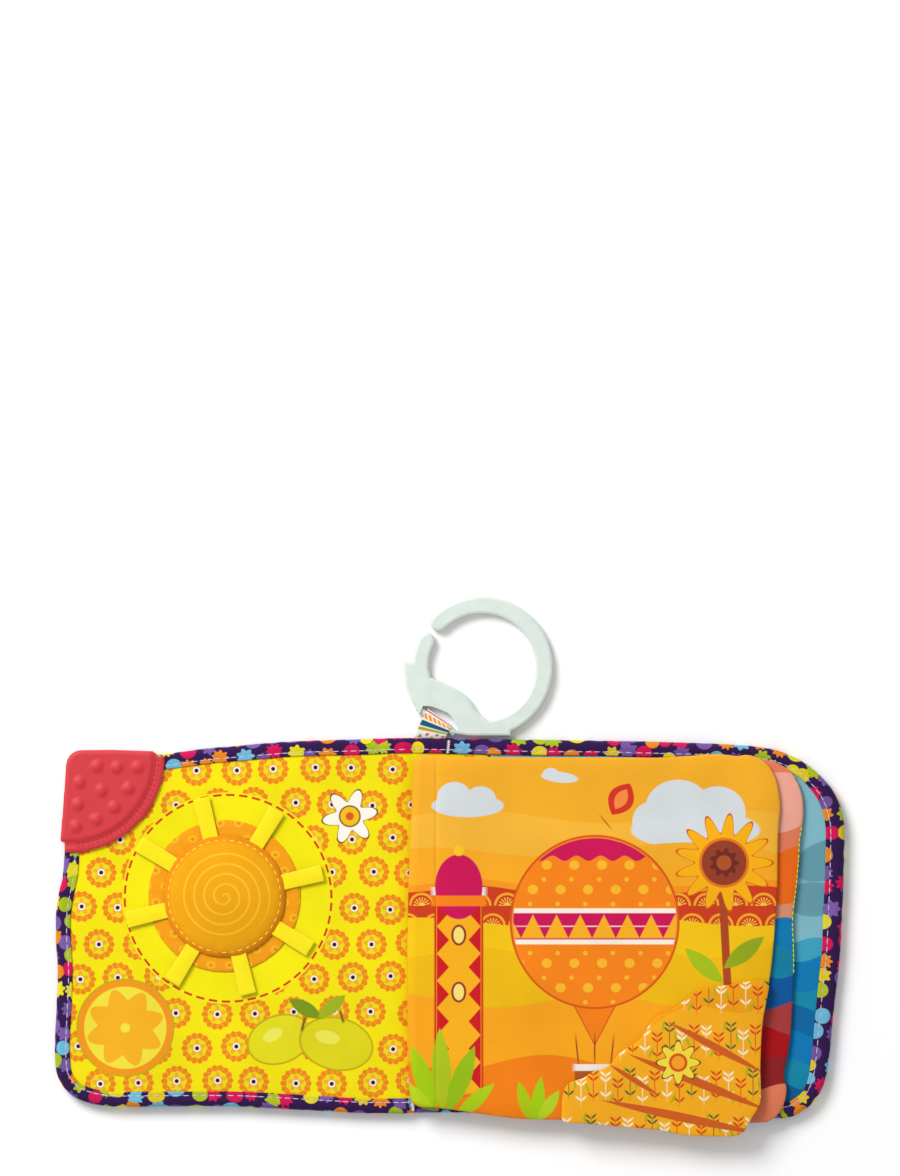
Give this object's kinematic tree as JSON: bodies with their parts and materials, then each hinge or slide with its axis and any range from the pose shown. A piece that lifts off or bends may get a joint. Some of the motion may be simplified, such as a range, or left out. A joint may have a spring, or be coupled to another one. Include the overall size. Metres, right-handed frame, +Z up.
{
  "type": "crinkle cloth book",
  "caption": "Soft crinkle book lying open: padded bound covers, turning cloth pages, a peek flap, a padded sun with ribbon tabs, a silicone corner and a clip ring.",
  "frame": {"origin": "underside of the spine at its middle, on the surface the open book lies on", "axes": "+X from the front cover across to the back cover, +Y up the page towards the clip ring, +Z up off the table"},
  "size_m": [0.3594, 0.2462, 0.0144],
  "materials": {
    "binding": "printed brushed cloth edging, matt",
    "cover_cloth": "plain brushed cloth, matt",
    "yellow_lining": "printed brushed cloth, matt",
    "blue_lining": "printed brushed cloth, matt",
    "batting": "white polyester batting",
    "crinkle_film": "thin crackling film, slightly shiny",
    "page_a_cloth": "printed satin-faced cloth",
    "page_b_cloth": "printed satin-faced cloth",
    "flap_cloth": "printed satin-faced cloth",
    "sun_patch": "embossed satin patch",
    "sun_disc": "brushed plush cloth",
    "ribbon": "yellow satin ribbon",
    "tape": "striped woven tape",
    "silicone": "soft matt silicone",
    "ring_plastic": "pale moulded plastic, satin"
  },
  "bodies": {
    "back_cover": {"back_binding": "binding", "back_outer_shell": "cover_cloth", "back_batting": "batting", "back_crinkle_film": "crinkle_film", "back_lining": "blue_lining", "spine_shell": "cover_cloth", "spine_lining": "yellow_lining", "spine_binding_top": "binding", "spine_binding_bottom": "binding", "page_b_gusset": "page_b_cloth"},
    "front_cover": {"front_binding": "binding", "front_binding_top": "binding", "front_outer_shell": "cover_cloth", "front_batting": "batting", "front_crinkle_film": "crinkle_film", "front_lining": "yellow_lining", "sun_ring_patch": "sun_patch", "sun_disc_cover": "sun_disc", "sun_stuffing": "batting", "teether_corner": "silicone"},
    "page_b": {"page_b_face_cloth": "page_b_cloth", "page_b_crinkle_film": "crinkle_film", "page_b_back_cloth": "page_b_cloth", "page_a_gusset": "page_a_cloth"},
    "page_a": {"page_a_face_cloth": "page_a_cloth", "page_a_crinkle_film": "crinkle_film", "page_a_back_cloth": "page_a_cloth"},
    "flap": {"flap_face_cloth": "flap_cloth", "flap_crinkle_film": "crinkle_film", "flap_back_cloth": "flap_cloth"},
    "tape_loop": {"tape_loop": "tape"},
    "clip_ring": {"clip_ring": "ring_plastic"},
    "ray_tab_1": {"sun_ray_tab_1": "ribbon"},
    "ray_tab_2": {"sun_ray_tab_2": "ribbon"},
    "ray_tab_3": {"sun_ray_tab_3": "ribbon"},
    "ray_tab_4": {"sun_ray_tab_4": "ribbon"},
    "ray_tab_5": {"sun_ray_tab_5": "ribbon"},
    "ray_tab_6": {"sun_ray_tab_6": "ribbon"},
    "ray_tab_7": {"sun_ray_tab_7": "ribbon"},
    "ray_tab_8": {"sun_ray_tab_8": "ribbon"}
  },
  "joints": [
    {"name": "front_cover_fold", "type": "hinge", "parent": "back_cover", "child": "front_cover", "pos_m": [0, 0, 0.013], "axis": [0, 1, 0], "range_deg": [0, 180], "deforming": ["spine_shell", "spine_lining", "spine_binding_top", "spine_binding_bottom"]},
    {"name": "page_b_turn", "type": "hinge", "parent": "back_cover", "child": "page_b", "pos_m": [-0.012, 0, 0.013], "axis": [0, -1, 0], "range_deg": [0, 180], "deforming": ["page_b_gusset"]},
    {"name": "page_a_turn", "type": "hinge", "parent": "page_b", "child": "page_a", "pos_m": [-0.012, 0, 0.013], "axis": [0, -1, 0], "range_deg": [0, 180], "deforming": ["page_a_gusset"]},
    {"name": "flap_lift", "type": "hinge", "parent": "page_a", "child": "flap", "pos_m": [0.14315, -0.05575, 0.01235], "axis": [0.0681, 0.9977, 0], "range_deg": [0, 180]},
    {"name": "loop_swing", "type": "hinge", "parent": "back_cover", "child": "tape_loop", "pos_m": [-0.0119, 0.0862, 0.0039], "axis": [1, 0, 0], "range_deg": [0, 60]},
    {"name": "ring_swing", "type": "hinge", "parent": "tape_loop", "child": "clip_ring", "pos_m": [-0.0065, 0.09355, 0.0025], "axis": [-0.8192, 0.5735, 0], "range_deg": [-75, 0]},
    {"name": "ray_tab_1_lift", "type": "hinge", "parent": "front_cover", "child": "ray_tab_1", "pos_m": [-0.07519, 0.02018, 0.0079], "axis": [-0.2334, 0.9724, 0], "range_deg": [-80, 0]},
    {"name": "ray_tab_2_lift", "type": "hinge", "parent": "front_cover", "child": "ray_tab_2", "pos_m": [-0.08806, 0.03789, 0.0079], "axis": [-0.8526, 0.5225, 0], "range_deg": [-80, 0]},
    {"name": "ray_tab_3_lift", "type": "hinge", "parent": "front_cover", "child": "ray_tab_3", "pos_m": [-0.10968, 0.04131, 0.0079], "axis": [-0.9724, -0.2334, 0], "range_deg": [-80, 0]},
    {"name": "ray_tab_4_lift", "type": "hinge", "parent": "front_cover", "child": "ray_tab_4", "pos_m": [-0.12739, 0.02844, 0.0079], "axis": [-0.5225, -0.8526, 0], "range_deg": [-80, 0]},
    {"name": "ray_tab_5_lift", "type": "hinge", "parent": "front_cover", "child": "ray_tab_5", "pos_m": [-0.13081, 0.00682, 0.0079], "axis": [0.2334, -0.9724, 0], "range_deg": [-80, 0]},
    {"name": "ray_tab_6_lift", "type": "hinge", "parent": "front_cover", "child": "ray_tab_6", "pos_m": [-0.11794, -0.01089, 0.0079], "axis": [0.8526, -0.5225, 0], "range_deg": [-80, 0]},
    {"name": "ray_tab_7_lift", "type": "hinge", "parent": "front_cover", "child": "ray_tab_7", "pos_m": [-0.09632, -0.01431, 0.0079], "axis": [0.9724, 0.2334, 0], "range_deg": [-80, 0]},
    {"name": "ray_tab_8_lift", "type": "hinge", "parent": "front_cover", "child": "ray_tab_8", "pos_m": [-0.07861, -0.00144, 0.0079], "axis": [0.5225, 0.8526, 0], "range_deg": [-80, 0]}
  ]
}
